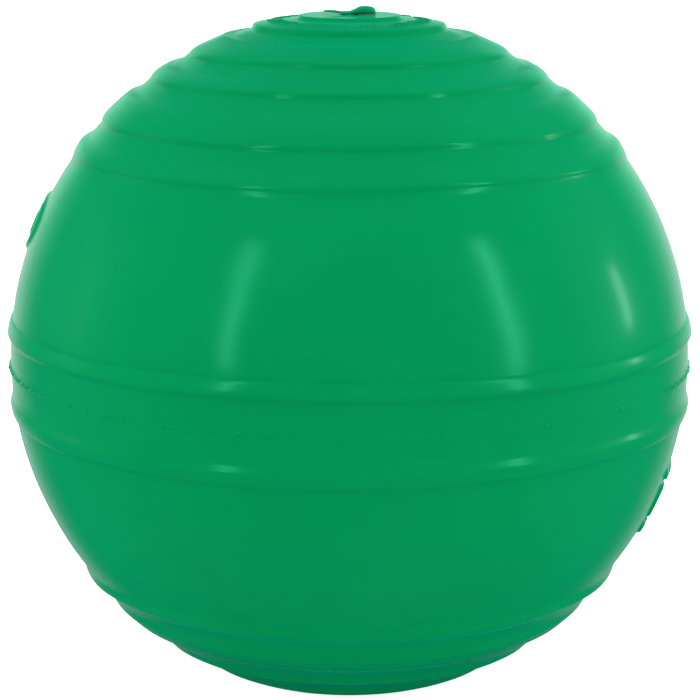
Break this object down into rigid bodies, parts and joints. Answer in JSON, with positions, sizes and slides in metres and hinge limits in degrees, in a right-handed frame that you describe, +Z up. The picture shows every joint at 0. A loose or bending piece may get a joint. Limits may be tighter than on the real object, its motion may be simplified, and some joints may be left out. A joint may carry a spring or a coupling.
{
  "type": "playground rubber ball",
  "caption": "Inflated green rubber playground ball with raised bands round both poles, a seam at the equator, wound inner layers and a pull-out valve plug.",
  "frame": {"origin": "middle of the flat disc on the lower pole, which the ball stands on", "axes": "+Z up the ball's axis through both poles and the valve plug; +X towards the finger lip on the plug"},
  "size_m": [0.2152, 0.2152, 0.2162],
  "materials": {
    "cover_rubber": "gloss",
    "seam_rubber": "gloss",
    "plug_rubber": "satin",
    "wound_thread": "matte",
    "bladder_rubber": "satin",
    "patch_rubber": "matte",
    "valve_rubber": "satin"
  },
  "bodies": {
    "ball": {"cover_upper": "cover_rubber", "cover_lower": "cover_rubber", "seam_strip": "seam_rubber", "thread_winding": "wound_thread", "bladder": "bladder_rubber", "valve_patch": "patch_rubber", "valve_body": "valve_rubber"},
    "plug": {"valve_plug": "plug_rubber"}
  },
  "joints": [
    {"name": "plug_pull", "type": "slide", "parent": "ball", "child": "plug", "axis": [0, 0, 1], "range_m": [0, 0.021]}
  ]
}
